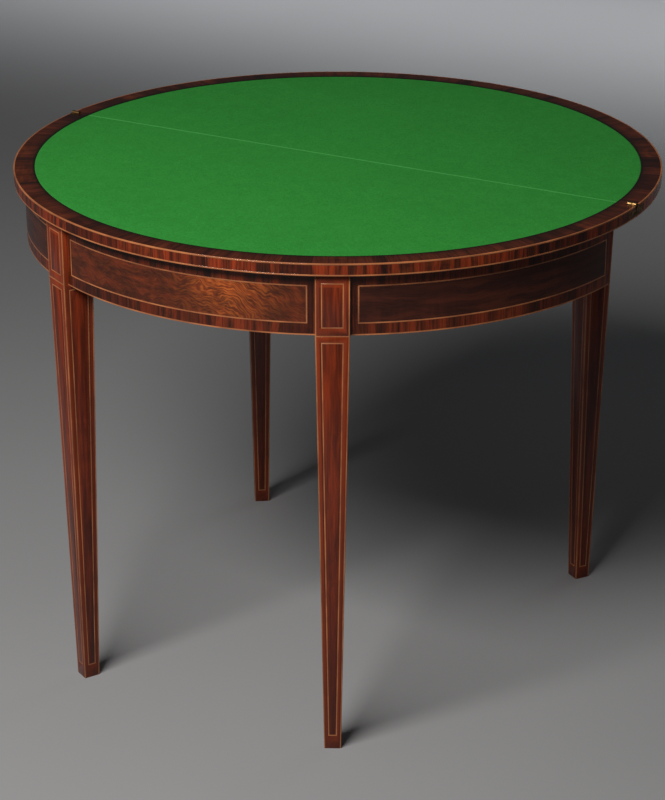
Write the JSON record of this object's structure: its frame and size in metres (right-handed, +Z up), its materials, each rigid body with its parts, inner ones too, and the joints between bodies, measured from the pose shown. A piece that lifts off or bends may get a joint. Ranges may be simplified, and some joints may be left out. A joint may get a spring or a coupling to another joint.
{
  "type": "card table",
  "caption": "Demi-lune fold-over card table with round baize top, inlaid half-round frieze, square tapered legs and swing-out gate legs.",
  "frame": {"origin": "on the floor under the centre of the round top, which is the middle of the leaf joint", "axes": "+X along the leaf joint to the right as seen from the front, +Y from the fixed half towards the flap, +Z up"},
  "size_m": [0.93, 0.93, 0.7233],
  "materials": {
    "baize": "matte woollen baize",
    "crossbanding": "polished crossbanded veneer",
    "leaf_wood": "polished",
    "frieze_veneer": "polished flame-figured veneer",
    "leg_wood": "polished",
    "inner_wood": "plain unpolished secondary wood",
    "stringing": "polished pale string inlay",
    "brass": "aged",
    "steel": "dull"
  },
  "bodies": {
    "frame": {"fixed_leaf": "leaf_wood", "fixed_crossbanding": "crossbanding", "fixed_edge_banding": "crossbanding", "fixed_stringing": "stringing", "fixed_baize": "baize", "frieze_front": "inner_wood", "frieze_right": "inner_wood", "frieze_left": "inner_wood", "frieze_panel_front": "frieze_veneer", "frieze_panel_right": "frieze_veneer", "frieze_panel_left": "frieze_veneer", "frieze_band_front": "crossbanding", "frieze_band_right": "crossbanding", "frieze_band_left": "crossbanding", "frieze_stringing_front": "stringing", "frieze_stringing_right": "stringing", "frieze_stringing_left": "stringing", "leg_right": "leg_wood", "leg_left": "leg_wood", "leg_stringing_right": "stringing", "leg_stringing_left": "stringing", "gate_pin_right": "steel", "gate_pin_left": "steel", "back_rail": "inner_wood", "knuckle_rail": "inner_wood", "spacer_block": "inner_wood", "middle_rail": "inner_wood", "block_inner_right": "inner_wood", "block_inner_left": "inner_wood", "block_outer_right": "inner_wood", "block_outer_left": "inner_wood", "top_screws": "steel", "fixed_hinge_right": "brass", "fixed_hinge_left": "brass", "fixed_hinge_screws_right": "brass", "fixed_hinge_screws_left": "brass"},
    "flap": {"flap_leaf": "leaf_wood", "flap_crossbanding": "crossbanding", "flap_edge_banding": "crossbanding", "flap_stringing": "stringing", "flap_baize": "baize", "flap_hinge_right": "brass", "flap_hinge_left": "brass", "hinge_pin_right": "brass", "hinge_pin_left": "brass", "flap_hinge_screws_right": "brass", "flap_hinge_screws_left": "brass"},
    "right_gate": {"gate_leg_right": "leg_wood", "gate_stringing_right": "stringing", "gate_rail_right": "inner_wood"},
    "left_gate": {"gate_leg_left": "leg_wood", "gate_stringing_left": "stringing", "gate_rail_left": "inner_wood"}
  },
  "joints": [
    {"name": "flap_fold", "type": "hinge", "parent": "frame", "child": "flap", "pos_m": [0, 0, 0.7203], "axis": [1, 0, 0], "range_deg": [0, 180]},
    {"name": "right_gate_swing", "type": "hinge", "parent": "frame", "child": "right_gate", "pos_m": [0.093, -0.0115, 0], "axis": [0, 0, 1], "range_deg": [-55.7, 30]},
    {"name": "left_gate_swing", "type": "hinge", "parent": "frame", "child": "left_gate", "pos_m": [-0.093, -0.0115, 0], "axis": [0, 0, 1], "range_deg": [-30, 55.7]}
  ]
}
